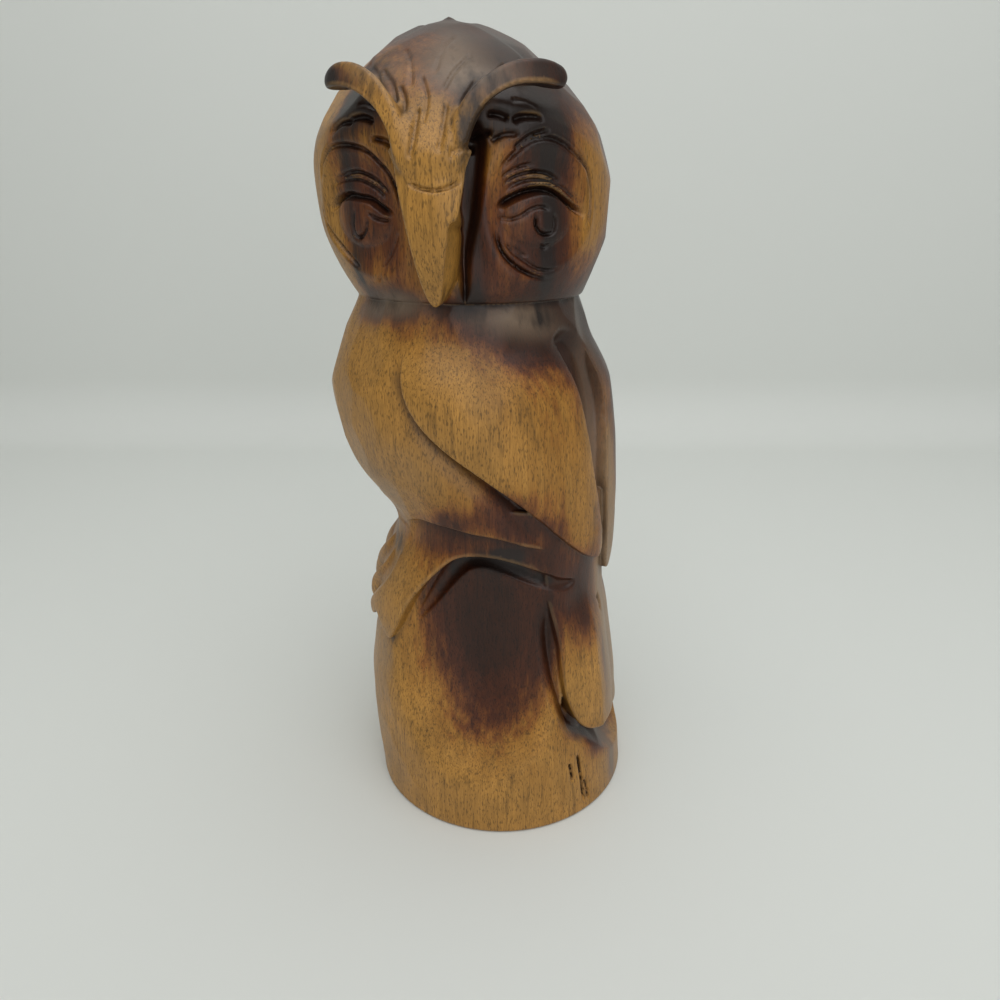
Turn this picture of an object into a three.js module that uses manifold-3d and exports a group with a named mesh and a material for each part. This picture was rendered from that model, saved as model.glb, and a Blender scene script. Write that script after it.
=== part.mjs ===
// A carved wooden owl on its stump, worked from one leaning log, so it is a single solid.
// Millimetres, +Z up. The origin is the middle of the flat underside. The face looks along -Y,
// and the body is turned away from it, so that the owl looks back over its left shoulder.
//
// Bearings are in degrees round the log, from 0 at the face (-Y) to 90 at +X. Marks on the body
// and stump are given as turns from the middle of the back: 0 there, 180 at the middle of the
// breast, positive over the owl's left side and negative over its right side.

import * as THREE from "three";
import { mergeVertices } from "three/addons/utils/BufferGeometryUtils.js";
import Module from "manifold-3d";

const wasm = await Module();
wasm.setup();

// The log
const HEIGHT = 228.6;
const LEAN = 0.0554; // sideways run of the log's axis for each millimetre of height
const LEAN_BEARING = -84;
const BACK_BEARING = 63;
const COLUMNS = 46; // facets round a turned solid
const ROW_STEP = 6.6; // height of one row of facets
const CROWN_ROWS = 7;
const BAR_STEP = 5.5;
const CUT_RADII = [20, 32, 37, 42, 90]; // an outline is cut out through these in turn
const DEG = Math.PI / 180;

// [height, radius] down the middle of the breast and down the middle of the back
const BREAST_OUTLINE = [
  [0, 42.4], [30, 42.6], [58, 41.2], [76, 38.5], [86, 33], [95, 26.5], [103, 30], [112, 37.2],
  [120, 41.4], [130, 44], [138, 43.6], [146, 40.8], [154, 36.6], [161, 32.6],
];
const BACK_OUTLINE = [
  [0, 42.4], [24, 41.4], [45, 39.6], [65, 37.6], [85, 37], [95, 38], [112, 38.6], [125, 38.2],
  [137, 37], [148, 34.4], [155, 32.6], [161, 31.2],
];
const BREAST_SHARPNESS = 1.2; // how narrow the breast's bulge is

// Head and crown
const NECK_Z = 161;
const HEAD_OUTLINE = [[161, 31.6], [166, 35], [172, 37.6], [179, 39.6], [186, 40.2], [190, 40.2]];
const DOME_Z = 190; // where the crown starts to close in
const DOME_RADIUS = 40.2;
const DOME_POWER = 0.66;

// Face, mirrored about the beak
const CHEEK = [[6, 161], [6, 193], [10, 201], [17, 206], [27, 209], [46, 210], [70, 200], [84, 180], [76, 161]];
const CHEEK_OUTLINE = [[161, 33.2], [175, 33.6], [190, 34], [212, 35]];
const CHEEK_FLARE = 0.105; // millimetres gained per degree away from the beak
const CHEEK_FLAT = 14; // degrees beside the beak where the cheek doesn't flare yet
const EYE_BEARING = 38;
const EYE_Z = 182;
const EYE_SIZE = [13, 16]; // half width and half height of the ring round the eye
const EYE_RADIUS = 36.6;
const RING_WIDTH = 0.09; // of the ring's own radius
const LID_SIZE = [9.5, 3.6, 5];
const PUPIL_SIZE = [3.2, 2.4, 5];
const BROW = [
  [6.5, 189], [10, 197], [14.5, 202.5], [22, 206.2], [34, 207.4], [46, 206.5], [49, 209], [46, 211.6],
  [38, 213.6], [30, 213.6], [20, 211], [13, 205.5], [7, 198], [3, 191],
];
const BROW_OUTLINE = [[188, 43.4], [198, 44.4], [205, 43.4], [210, 42.2], [214, 40.4]];
const BROW_SWEEP = 0.05; // millimetres lost per degree away from the beak
const FOREHEAD = [[7, 189], [9, 197], [15, 204], [24, 209.5], [44, 211.5], [36, 222], [0, 226]];
const FOREHEAD_OUTLINE = [[189, 44.8], [195, 45.2], [200, 42.4], [206, 38], [212, 33.6], [218, 26.2], [226, 10]];
const BEAK = [[8.7, 193], [7, 184], [5, 174], [2.8, 163], [1.2, 161.4]];
const BEAK_OUTLINE = [[161, 41.6], [165, 43.6], [171, 45.6], [180, 46.9], [188, 46.6], [194, 45]];

// Wings: the lower front edge from the shoulder to the tip, then the rear edge back up
const WING_THICK = 2.2;
const WING_SUNK = 1;
const WING_TOP_Z = 157;
const WING_FADE = 16;
const LEFT_WING = [
  [55, 159], [80, 152], [83, 144], [82, 137], [77, 130], [69, 124.5], [46.5, 112.3], [24, 97.4], [10, 89.5],
  [-1, 87.3], [-1, 94], [7, 116.5], [12, 132.6], [17, 146], [24, 159],
];
const RIGHT_WING = [
  [-55, 159], [-80, 152], [-83, 144], [-82, 137], [-77, 130], [-69, 124.5], [-48, 110], [-34, 95], [-24, 79],
  [-12, 79], [-5, 97], [-7, 117], [-8, 132], [-5, 145], [-18, 159],
];
const FURROW = [[86, 141], [83, 132], [73, 123], [49, 110], [27, 95.5], [14, 89]];
const FURROW_SECTION = [5, 4];
const BETWEEN_WINGS = [[18, 150], [12, 132], [8, 116], [1, 92], [-5, 88], [-5, 97], [-8, 118], [-9, 133], [-6, 150]];
const BETWEEN_DEPTH = 3.6;

// Legs, feet and stump
const LEG_DEPTH = 1.8;
const BODY_BOTTOM = [[124, 97], [100, 100.5], [76, 100.7], [63, 99.5], [50, 98], [37, 95], [16, 91]];
const LEG_BOTTOM = [
  [21, 83.5], [35, 89], [48, 91.6], [61, 91.4], [70, 89], [80, 83], [90, 75.6], [99, 67], [108, 60],
  [124, 62],
];
const OVERLAP = 2; // the legs run on up inside the body by this much
const UNDERCUT_Z = 106; // the scoops run up behind the legs to here
const BODY_TOP_Z = 112;
const SCOOP = { turn: 63, z: 62, halfTurn: 45, up: 60, down: 44, depth: 12.5 };
const TOES = 4;
const FIRST_TOE = 104; // turn of the outer toe, nearest the wing
const TOE_SPREAD = 13;
const TOE_PATH = [[-10, 24, 98], [-5, 33, 91], [0, 38.6, 81], [3, 40, 71], [4, 38.4, 62]];
const TOE_SECTION = [9.6, 7.6];
const FOOT = [[99, 94], [98, 72], [104, 64], [150, 62], [154, 94]];
const FOOT_THICK = 1.4;

// Tail
const TAIL = [[25, 92], [26, 45], [23, 35], [15, 30], [4, 30], [-26, 25], [-27, 92]];
const TAIL_THICK = 0.8;
const TAIL_RIDGE = 2.2;
const TAIL_RIDGE_TURN = 8;
const TAIL_HALF_TURN = 20;
const TAIL_GROOVE = [[29, 85], [29, 66], [29, 46], [26, 35], [16, 27], [2, 24]];
const GROOVE_SECTION = [5, 6];
const NOTCH = [[22, 34], [12, 21], [-4, 15], [-14, 16], [-32, 22], [-32, 40]];
const NOTCH_DEPTH = 4.5;

const clamp = (value, low, high) => Math.min(Math.max(value, low), high);
const wrapped = (degrees) => degrees - 360 * Math.round(degrees / 360);
const mirrored = (corners) => corners.map(([first, ...others]) => [-first, ...others]).toReversed();
const onBody = (corners) => corners.map(([turn, ...others]) => [BACK_BEARING - turn, ...others]);

function place(bearing, radius, z) {
  return new THREE.Vector3(
    LEAN * z * Math.sin(LEAN_BEARING * DEG) + radius * Math.sin(bearing * DEG),
    -LEAN * z * Math.cos(LEAN_BEARING * DEG) - radius * Math.cos(bearing * DEG),
    z,
  );
}

// A smooth curve through [height, radius] pairs
function outline(pairs) {
  const heights = pairs.map(([z]) => z);
  const curve = new THREE.CubicInterpolant(heights, pairs.map(([, radius]) => radius), 1);
  return (z) => curve.evaluate(clamp(z, heights[0], heights.at(-1)))[0];
}

const breastRadius = outline(BREAST_OUTLINE);
const backRadius = outline(BACK_OUTLINE);
const headRadius = outline(HEAD_OUTLINE);
const cheekOutline = outline(CHEEK_OUTLINE);
const foreheadRadius = outline(FOREHEAD_OUTLINE);
const browOutline = outline(BROW_OUTLINE);
const beakRadius = outline(BEAK_OUTLINE);

// How deep the round hollow in each side of the stump is
function scoopDepth(bearing, z) {
  const across = (Math.abs(wrapped(BACK_BEARING - bearing)) - SCOOP.turn) / SCOOP.halfTurn;
  const along = (z - SCOOP.z) / (z > SCOOP.z ? SCOOP.up : SCOOP.down);
  return z > UNDERCUT_Z ? 0 : SCOOP.depth * Math.max(0, 1 - across * across - along * along);
}

// The round of the log with the owl's stance: stump, body and head
function logRadius(bearing, z) {
  if (z > DOME_Z) {
    const rise = clamp((z - DOME_Z) / (HEIGHT - DOME_Z), 0, 1);
    return DOME_RADIUS * (1 - rise * rise) ** DOME_POWER;
  }
  if (z >= NECK_Z) {
    return headRadius(z);
  }
  const towardsBreast = (1 - Math.cos((bearing - BACK_BEARING) * DEG)) / 2;
  return THREE.MathUtils.lerp(backRadius(z), breastRadius(z), towardsBreast ** BREAST_SHARPNESS);
}

const blockRadius = (bearing, z) => logRadius(bearing, z) - scoopDepth(bearing, z);

// The wing's plate sinks into the shoulder at its top
function wingRadius(bearing, z) {
  const rise = THREE.MathUtils.smoothstep(WING_TOP_Z - z, 0, WING_FADE);
  return logRadius(bearing, z) - WING_SUNK + (WING_THICK + WING_SUNK) * rise;
}

function browRadius(bearing, z) {
  return browOutline(z) - BROW_SWEEP * Math.abs(wrapped(bearing));
}

function cheekRadius(bearing, z) {
  return cheekOutline(z) + CHEEK_FLARE * Math.max(0, Math.abs(wrapped(bearing)) - CHEEK_FLAT);
}

function tailRadius(bearing, z) {
  const aside = Math.abs(wrapped(BACK_BEARING - bearing) - TAIL_RIDGE_TURN) / TAIL_HALF_TURN;
  return backRadius(z) + TAIL_THICK + TAIL_RIDGE * Math.max(0, 1 - aside);
}

const offset = (radiusAt, amount) => (bearing, z) => radiusAt(bearing, z) + amount;

// A closed three.js geometry as a solid that can be joined and cut
function solid(geometry) {
  geometry.deleteAttribute("normal");
  geometry.deleteAttribute("uv");
  const merged = mergeVertices(geometry, 1e-3);
  const corners = merged.getIndex().array;
  const triangles = [];
  for (let i = 0; i < corners.length; i += 3) {
    const [a, b, c] = corners.slice(i, i + 3);
    if (a !== b && b !== c && c !== a) {
      triangles.push(a, b, c);
    }
  }
  const vertProperties = new Float32Array(merged.getAttribute("position").array);
  const triVerts = new Uint32Array(triangles);
  return new wasm.Manifold(new wasm.Mesh({ numProp: 3, vertProperties, triVerts }));
}

// Every turned solid shares these rows, closer together over the crown
function rowHeights() {
  const rows = [];
  for (let z = 0; z < NECK_Z - ROW_STEP / 2; z += ROW_STEP) {
    rows.push(z);
  }
  for (let z = NECK_Z; z < DOME_Z; z += ROW_STEP) {
    rows.push(z);
  }
  for (let row = 0; row <= CROWN_ROWS; row += 1) {
    rows.push(DOME_Z + (HEIGHT - DOME_Z) * Math.sin((row / CROWN_ROWS) * (Math.PI / 2)));
  }
  return rows;
}

// A solid turned about the leaning axis, whose radius may change with the bearing too
function turned(radiusAt) {
  const rows = rowHeights();
  const rim = rows.map((z) => new THREE.Vector2(1, z));
  const profile = [new THREE.Vector2(0, rows[0]), ...rim, new THREE.Vector2(0, rows.at(-1))];
  const geometry = new THREE.LatheGeometry(profile, COLUMNS);
  const points = geometry.getAttribute("position");
  for (let i = 0; i < points.count; i += 1) {
    const onAxis = Math.hypot(points.getX(i), points.getZ(i)) < 0.5;
    const bearing = Math.atan2(points.getX(i), points.getZ(i)) / DEG;
    const z = points.getY(i);
    const spot = place(bearing, onAxis ? 0 : radiusAt(bearing, z), z);
    points.setXYZ(i, spot.x, spot.y, spot.z);
  }
  return solid(geometry);
}

// A block over an outline of [bearing, height] corners, with sides that run straight out from
// the log's axis
function cutOut(corners) {
  const shape = new THREE.Shape(corners.map(([bearing, z]) => new THREE.Vector2(bearing, z)));
  const depth = CUT_RADII.length - 1;
  const geometry = new THREE.ExtrudeGeometry(shape, { depth, steps: depth, bevelEnabled: false });
  const points = geometry.getAttribute("position");
  for (let i = 0; i < points.count; i += 1) {
    const radius = CUT_RADII[Math.round(points.getZ(i))];
    const spot = place(points.getX(i), radius, points.getY(i));
    points.setXYZ(i, spot.x, spot.y, spot.z);
  }
  return solid(geometry);
}

// A round bar along [bearing, radius, height] points
function bar(points, [width, height]) {
  const path = new THREE.CatmullRomCurve3(points.map((point) => place(...point)));
  const section = new THREE.Shape();
  section.absellipse(0, 0, width / 2, height / 2, 0, 2 * Math.PI, false, 0);
  const steps = Math.round(path.getLength() / BAR_STEP);
  const settings = { extrudePath: path, steps, curveSegments: 5, bevelEnabled: false };
  return solid(new THREE.ExtrudeGeometry(section, settings));
}

// Stands a geometry that faces +Z on the log, so that it faces outwards
function standOn(geometry, bearing, radius, z) {
  geometry.rotateX(Math.PI / 2);
  geometry.rotateZ(bearing * DEG);
  const spot = place(bearing, radius, z);
  geometry.translate(spot.x, spot.y, spot.z);
  return solid(geometry);
}

function ball(bearing, radius, z, [width, thickness, height]) {
  return standOn(new THREE.SphereGeometry(1, 12, 8).scale(width, height, thickness), bearing, radius, z);
}

// Raises a plate over part of the surface, or cuts part of the surface back
const raise = (owl, corners, radiusAt) => owl.add(cutOut(corners).intersect(turned(radiusAt)));
const cutBack = (owl, corners, radiusAt) =>
  owl.subtract(cutOut(corners).subtract(turned(radiusAt)));

// The legs stand out over the scoops in an arched ledge, and the body overhangs the legs
function carveLegs(owl) {
  const legs = BODY_BOTTOM.map(([turn, z]) => [turn, z + OVERLAP]).concat(LEG_BOTTOM);
  const body = BODY_BOTTOM.concat([[16, BODY_TOP_Z], [124, BODY_TOP_Z]]);
  for (const [plate, depth] of [[legs, LEG_DEPTH], [body, 0]]) {
    for (const side of [plate, mirrored(plate)]) {
      owl = raise(owl, onBody(side), offset(logRadius, -depth));
    }
  }
  return owl;
}

function carveFeet(owl) {
  for (const side of [-1, 1]) {
    const foot = side < 0 ? mirrored(FOOT) : FOOT;
    owl = raise(owl, onBody(foot), offset(logRadius, FOOT_THICK));
    for (let toe = 0; toe < TOES; toe += 1) {
      const turn = FIRST_TOE + toe * TOE_SPREAD;
      const path = TOE_PATH.map(([aside, radius, z]) => [side * (turn + aside), radius, z]);
      owl = owl.add(bar(onBody(path), TOE_SECTION));
    }
  }
  return owl;
}

function carveTail(owl) {
  const groove = TAIL_GROOVE.map(([turn, z]) => [turn, backRadius(z) + 1, z]);
  owl = owl.subtract(bar(onBody(groove), GROOVE_SECTION));
  owl = cutBack(owl, onBody(NOTCH), offset(logRadius, -NOTCH_DEPTH));
  return raise(owl, onBody(TAIL), tailRadius);
}

function carveWings(owl) {
  owl = cutBack(owl, onBody(BETWEEN_WINGS), offset(logRadius, -BETWEEN_DEPTH));
  const furrow = FURROW.map(([turn, z]) => [turn, backRadius(z) + 1, z]);
  for (const path of [furrow, mirrored(furrow)]) {
    owl = owl.subtract(bar(onBody(path), FURROW_SECTION));
  }
  for (const wing of [LEFT_WING, RIGHT_WING]) {
    owl = raise(owl, onBody(wing), wingRadius);
  }
  return owl;
}

function carveFace(owl) {
  for (const side of [-1, 1]) {
    const cheek = side < 0 ? mirrored(CHEEK) : CHEEK;
    owl = cutBack(owl, cheek, cheekRadius);
    const ring = new THREE.TorusGeometry(1, RING_WIDTH, 5, 24).scale(...EYE_SIZE, EYE_SIZE[0]);
    owl = owl.subtract(standOn(ring, side * EYE_BEARING, EYE_RADIUS, EYE_Z));
    owl = owl.subtract(ball(side * EYE_BEARING, EYE_RADIUS + 1, EYE_Z + 3, LID_SIZE));
    owl = owl.add(ball(side * EYE_BEARING, EYE_RADIUS - 1.6, EYE_Z - 1, PUPIL_SIZE));
    owl = raise(owl, side < 0 ? mirrored(BROW) : BROW, browRadius);
  }
  const whole = (half) => half.concat(mirrored(half));
  owl = raise(owl, whole(FOREHEAD), (bearing, z) => foreheadRadius(z));
  return raise(owl, whole(BEAK), (bearing, z) => beakRadius(z));
}

function meshOf(shape, name, material) {
  const { vertProperties, triVerts } = shape.getMesh();
  const geometry = new THREE.BufferGeometry();
  geometry.setAttribute("position", new THREE.BufferAttribute(vertProperties, 3));
  geometry.setIndex(new THREE.BufferAttribute(triVerts, 1));
  geometry.computeVertexNormals();
  const mesh = new THREE.Mesh(geometry, material);
  mesh.name = name;
  return mesh;
}

const steps = [carveLegs, carveFeet, carveTail, carveWings, carveFace];
const owl = steps.reduce((block, carve) => carve(block), turned(blockRadius));
const wood = new THREE.MeshStandardMaterial({ color: 0xa0703c, roughness: 0.42, metalness: 0 });
const part = new THREE.Group();
part.add(meshOf(owl, "carved_owl", wood));

export default part;
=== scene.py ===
"""A carved wooden owl on its stump, in the round.

The carving is worked out the way the carver did it: a leaning log is turned to the owl's stance,
plates such as the wings and the tail are left proud, hollows are scooped out, and the face,
toes and feathers are cut with a chisel. Each step changes one number for every point of space:
its distance to the wood, in millimetres, negative inside. The surface is then read off as a mesh.
"""

import math

import bpy
import numpy as np
from mathutils import Matrix, Vector


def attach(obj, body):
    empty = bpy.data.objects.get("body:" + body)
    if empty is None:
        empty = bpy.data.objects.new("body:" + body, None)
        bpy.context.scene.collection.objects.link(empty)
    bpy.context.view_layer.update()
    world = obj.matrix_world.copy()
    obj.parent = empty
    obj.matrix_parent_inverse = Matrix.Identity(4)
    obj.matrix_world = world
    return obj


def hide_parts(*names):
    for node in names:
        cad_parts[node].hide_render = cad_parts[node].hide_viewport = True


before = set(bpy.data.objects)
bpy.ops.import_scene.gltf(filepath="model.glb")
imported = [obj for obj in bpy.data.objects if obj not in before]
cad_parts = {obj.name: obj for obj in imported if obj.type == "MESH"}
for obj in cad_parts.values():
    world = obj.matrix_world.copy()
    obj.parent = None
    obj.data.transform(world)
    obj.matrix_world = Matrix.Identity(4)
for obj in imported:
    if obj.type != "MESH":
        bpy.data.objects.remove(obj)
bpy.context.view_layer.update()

MM = 0.001

# The log, in millimetres and degrees, as in the CAD. A bearing is 0 at the face and 90 at +X.
HEIGHT = 228.6
LEAN = 0.0554
LEAN_BEARING = -84
BACK_BEARING = 63  # a turn is counted from here, 180 at the breast, positive over the left side
ARC = 0.68  # millimetres along the surface for each degree, at the wings' radius

# How finely the wood is sampled before the mesh is thinned
STEP = 0.5
BLOCK = 4  # samples along each side of a coarse cell
MOST_TRIANGLES = 196000


# Curves and blends

def curve(pairs):
    """A smooth curve through (position, value) pairs, as a function of arrays."""
    at = np.array([p for p, _ in pairs], dtype=float)
    value = np.array([v for _, v in pairs], dtype=float)
    slope = np.gradient(value, at)
    fine = np.linspace(at[0], at[-1], 600)
    i = np.clip(np.searchsorted(at, fine) - 1, 0, len(at) - 2)
    gap = at[i + 1] - at[i]
    t = (fine - at[i]) / gap
    rise = value[i + 1] - value[i]
    bend = gap * slope[i] - rise
    bend_end = rise - gap * slope[i + 1]
    shape = value[i] + rise * t + t * (1 - t) * (bend * (1 - t) + bend_end * t)
    return lambda x: np.interp(x, fine, shape)


def ease(x, low, high):
    """0 at low, 1 at high, smooth between."""
    t = np.clip((x - low) / (high - low), 0, 1)
    return t * t * (3 - 2 * t)


def join(a, b, blend):
    h = np.maximum(blend - np.abs(a - b), 0) / blend
    return np.minimum(a, b) - h * h * blend / 4


def keep_both(a, b, blend):
    return -join(-a, -b, blend)


def cut(wood, tool, blend):
    return keep_both(wood, -tool, blend)


def wrapped(degrees):
    return degrees - 360 * np.round(degrees / 360)


def smooth_path(points, closed=False, pieces=5):
    """Rounds a chain of corners into a finer chain."""
    points = np.array(points, dtype=float)
    if closed:
        before, start = np.roll(points, 1, 0), points
        after, far = np.roll(points, -1, 0), np.roll(points, -2, 0)
    else:
        padded = np.vstack([2 * points[0] - points[1], points, 2 * points[-1] - points[-2]])
        before, start, after, far = padded[:-3], padded[1:-2], padded[2:-1], padded[3:]
    chain = []
    for t in np.arange(pieces) / pieces:
        straight = 2 * start + (after - before) * t
        bend = (2 * before - 5 * start + 4 * after - far) * t**2
        twist = (3 * start - before - 3 * after + far) * t**3
        chain.append(0.5 * (straight + bend + twist))
    chain = np.stack(chain, 1).reshape(-1, points.shape[1])
    return chain if closed else np.vstack([chain, points[-1]])


def beside(u, v, chain):
    """How far each point lies from a chain, and how far along the chain that is (0 to 1)."""
    best = np.full(u.shape, 1e9)
    along = np.zeros(u.shape)
    lengths = np.hypot(*np.diff(chain, axis=0).T)
    done = np.concatenate([[0], np.cumsum(lengths)])
    for i, length in enumerate(lengths):
        (u0, v0), (u1, v1) = chain[i], chain[i + 1]
        du, dv = u1 - u0, v1 - v0
        t = np.clip(((u - u0) * du + (v - v0) * dv) / max(length**2, 1e-9), 0, 1)
        gap = (u - u0 - t * du) ** 2 + (v - v0 - t * dv) ** 2
        closer = gap < best
        best = np.where(closer, gap, best)
        along = np.where(closer, (done[i] + t * length) / done[-1], along)
    return np.sqrt(best), along


def outside(u, v, ring):
    """Distance to a closed outline, negative inside it."""
    chain = np.vstack([ring, ring[:1]])
    gap, _ = beside(u, v, chain)
    within = np.zeros(u.shape, dtype=bool)
    for (u0, v0), (u1, v1) in zip(chain[:-1], chain[1:]):
        if v0 != v1:
            reach = u0 + (v - v0) * (u1 - u0) / (v1 - v0)
            within ^= ((v0 > v) != (v1 > v)) & (u < reach)
    return np.where(within, -gap, gap)


# Charts: a number marked out once over the unrolled surface, in millimetres along and up,
# and read back wherever it is wanted

BODY_ARC = 0.68  # millimetres round the body for each degree
FACE_ARC = 0.646


def chart(measure, arc, across, up, step=0.4):
    us = np.arange(across[0] * arc, across[1] * arc + step, step)
    vs = np.arange(up[0], up[1] + step, step)
    grid = measure(*np.meshgrid(us, vs, indexing="ij")).astype(np.float32)

    def read(degrees, z):
        a = np.clip((degrees * arc - us[0]) / step, 0, len(us) - 1.001)
        b = np.clip((z - vs[0]) / step, 0, len(vs) - 1.001)
        i, j = a.astype(np.int32), b.astype(np.int32)
        a, b = a - i, b - j
        near = grid[i, j] * (1 - b) + grid[i, j + 1] * b
        far = grid[i + 1, j] * (1 - b) + grid[i + 1, j + 1] * b
        return near * (1 - a) + far * a

    return read


def scaled(points, arc):
    return [(degrees * arc, z) for degrees, z in points]


def outline_chart(corners, arc, pieces=4, margin=14):
    """How far outside an outline of (degrees, height) corners a point lies, negative inside."""
    ring = smooth_path(scaled(corners, arc), closed=True, pieces=pieces)
    low, high = ring.min(0) - margin, ring.max(0) + margin
    return chart(lambda u, v: outside(u, v, ring), arc, (low[0] / arc, high[0] / arc), (low[1], high[1]))


# The log and the outlines left proud of it

BREAST_OUTLINE = curve([
    (0, 42.4), (30, 42.7), (40, 42.4), (48, 40.4), (56, 38.7), (64, 36.6), (76, 34), (86, 29), (94, 25.6),
    (99, 26.4), (105, 31.6), (111, 37.2), (120, 41.6), (130, 44), (138, 43.6), (146, 40.8), (154, 36.6),
    (161, 32.4), (168, 29),
])
BACK_OUTLINE = curve([
    (0, 42.4), (24, 41.4), (45, 39.6), (65, 37.8), (80, 37.6), (88, 38.4), (98, 39), (112, 39), (125, 38.4),
    (137, 37), (148, 34.4), (155, 32.6), (161, 31), (168, 28.6),
])
BREAST_SHARPNESS = 1.2
HEAD_OUTLINE = curve([
    (150, 26), (156, 29), (161, 32.2), (166, 35), (172, 37.6), (179, 39.6), (186, 40.2), (192, 40.2),
])
DOME_Z = 190
DOME_RADIUS = 40.2
DOME_POWER = 0.66

SCOOP_TURN, SCOOP_Z = 66, 60
SCOOP_HALF_TURN, SCOOP_UP, SCOOP_DOWN = 43, 58, 42.5
SCOOP_DEPTH = 13

BODY_BOTTOM = curve([
    (-20, 89), (0, 89.5), (16, 91), (37, 95), (50, 98), (63, 99.5), (76, 100.7), (90, 100.4), (104, 97.6),
    (124, 95.6), (180, 93.6),
])
LEGS = [
    (10, 84), (20, 82), (27, 84.6), (41, 89), (54, 91.4), (67, 91), (76, 88), (86, 82), (95, 75), (101, 68),
    (104.5, 63.4), (110.9, 58.4), (116, 60.4), (121, 64.6), (126, 63), (131, 61), (137, 63.6), (143, 61),
    (149, 60), (154, 62.4), (160, 60), (168, 61), (173, 68), (173, 104), (60, 104), (10, 100),
]
FOOT_OUTLINE = curve([
    (54, 39.4), (60, 40.5), (64, 40.9), (71, 39.4), (78, 36), (85, 31.6), (92, 26.2), (98, 24.6), (106, 24),
])
LEG_OUTLINE = curve([(54, 37.8), (70, 37), (84, 36.6), (100, 36.2), (106, 36)])
TOE_CUTS = [
    [(104, 93.6), (110.5, 90.4), (113.5, 86.6), (116, 82.5), (121, 78), (129, 73), (137, 68), (141, 61)],
    [(113, 96), (118.5, 90.6), (122.5, 86.4), (128, 82), (137, 77), (147, 71), (154, 61)],
    [(121, 95.6), (130, 91), (140, 86), (151, 79), (161, 70), (167, 60)],
]

WING_THICK = 2.7
LEFT_WING = [
    (52, 168), (76, 158), (84.5, 148), (85, 143), (81, 135.5), (75, 129.3), (66, 123.2), (55, 117),
    (44, 110.6), (33, 103.6), (24, 97.4), (14, 91.2), (5, 87.2), (-1.5, 86.4), (-3, 92), (1.5, 106),
    (5, 117), (8, 130), (11.6, 142), (14, 150), (16, 168),
]
RIGHT_WING = [
    (-52, 168), (-76, 158), (-84.5, 148), (-85, 143), (-81, 135.5), (-75, 129.3), (-66, 123.2),
    (-55, 117), (-46, 110), (-38, 99), (-33, 86), (-29, 78), (-16, 77.8), (-12, 81), (-8.5, 94), (-9, 117),
    (-12, 132), (-9, 146), (-10, 156), (-16, 168),
]
FURROW = [(88, 150), (87, 143), (83, 135), (76, 128.2), (66, 121.8), (55, 115.6), (44, 109.2), (33, 102.2), (20, 93)]
FURROW_DEPTH = curve([(0, 0), (0.1, 1.4), (0.25, 3.4), (0.6, 3.8), (0.85, 2.2), (1, 0.9)])
FURROW_WIDTH = curve([(0, 4), (0.15, 6.5), (0.4, 10), (0.7, 9), (1, 6)])
BETWEEN_WINGS = [
    (18, 149), (14, 142), (10, 130), (6.5, 117), (2.5, 104), (-2, 86), (-14, 84), (-12, 100), (-12, 118),
    (-15, 132), (-12, 144), (-2, 152), (9, 153),
]

TAIL = [
    (24, 92), (24, 60), (23.6, 47), (21.6, 39.6), (18.6, 34.4), (13.6, 30.4), (6.7, 28.6), (0, 28.4), (-12, 27.3),
    (-26, 26.6), (-31, 32), (-31, 92),
]
TAIL_GROOVE = [(26, 84), (25.8, 66), (25.2, 48), (23, 38.6), (19, 32.6), (13, 28), (4, 25)]
NOTCH_FOOT = [(22, 31), (15, 27), (8, 22.6), (-1.6, 15.6), (-12, 12.4), (-25, 11), (-38, 14), (-46, 26)]

# The face, in bearings and heights
CHEEK = [
    (4, 158), (4, 196), (10, 203), (17, 208.6), (27, 211), (46, 213), (60, 209), (76, 196), (84, 182), (82, 170),
    (74, 158),
]
CHEEK_OUTLINE = curve([(155, 32.6), (161, 33), (175, 33.5), (190, 34), (204, 34.6), (214, 35)])
HOLLOW = [
    (4, 159), (7.8, 163), (9.2, 170), (11.6, 176), (14.6, 182.5), (17.2, 190), (18.6, 197), (15, 202),
    (8, 200), (2, 194),
]
BEAK = [
    (10, 196), (9.2, 191), (7.2, 184), (5.6, 180.6), (3.4, 179.4), (2.4, 176), (1, 171), (-0.4, 166),
    (-1.4, 162.6), (-3, 161), (-4.8, 161), (-6.4, 163.2), (-7.6, 168), (-8.6, 174), (-9.6, 180),
    (-10.8, 186), (-12, 192), (-12.6, 196),
]
BEAK_OUTLINE = curve([(158, 40), (161, 41.8), (165, 43.8), (171, 45.8), (180, 47), (188, 46.6), (197, 44.6)])
FOREHEAD = [
    (-1, 187.4), (5, 188.4), (9, 193), (11.6, 199), (16, 204.6), (25, 209.6), (42, 211.6), (38, 222), (0, 228),
    (-36, 222), (-38, 211.6), (-25, 209.6), (-18, 204.6), (-13.6, 199), (-11.4, 193), (-8, 188.6),
]
FOREHEAD_OUTLINE = curve([
    (186, 44.6), (190, 46.4), (194, 46.6), (199, 43.8), (204, 39.8), (209, 36), (214, 31.2), (220, 23), (227, 8),
])
RIGHT_BROW = [
    (6, 194, 43.6), (8.4, 198, 43.4), (12.2, 203, 42.6), (18.5, 207.2, 41.6), (27, 210, 40.6),
    (36, 211, 40), (43.5, 210.8, 39.2),
]
LEFT_BROW = [
    (-8, 194, 43.6), (-10.4, 198, 43.4), (-14, 203, 42.6), (-19.5, 207.6, 41.6), (-26, 210, 40.6),
    (-33, 210.8, 39.6), (-38, 210.4, 38.6),
]
BROW_THICK = curve([(0, 1.2), (0.15, 2), (0.5, 2.7), (0.8, 3), (1, 2.7)])
BROW_FACE = curve([(188, 46), (198, 45.2), (204, 43.8), (209, 42.2), (214, 40.6)])
UNDER_BROW = curve([
    (5, 189), (8, 195), (11, 199.4), (14, 202.6), (19, 205.8), (26, 208.2), (34, 209), (45, 208.6),
])


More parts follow.
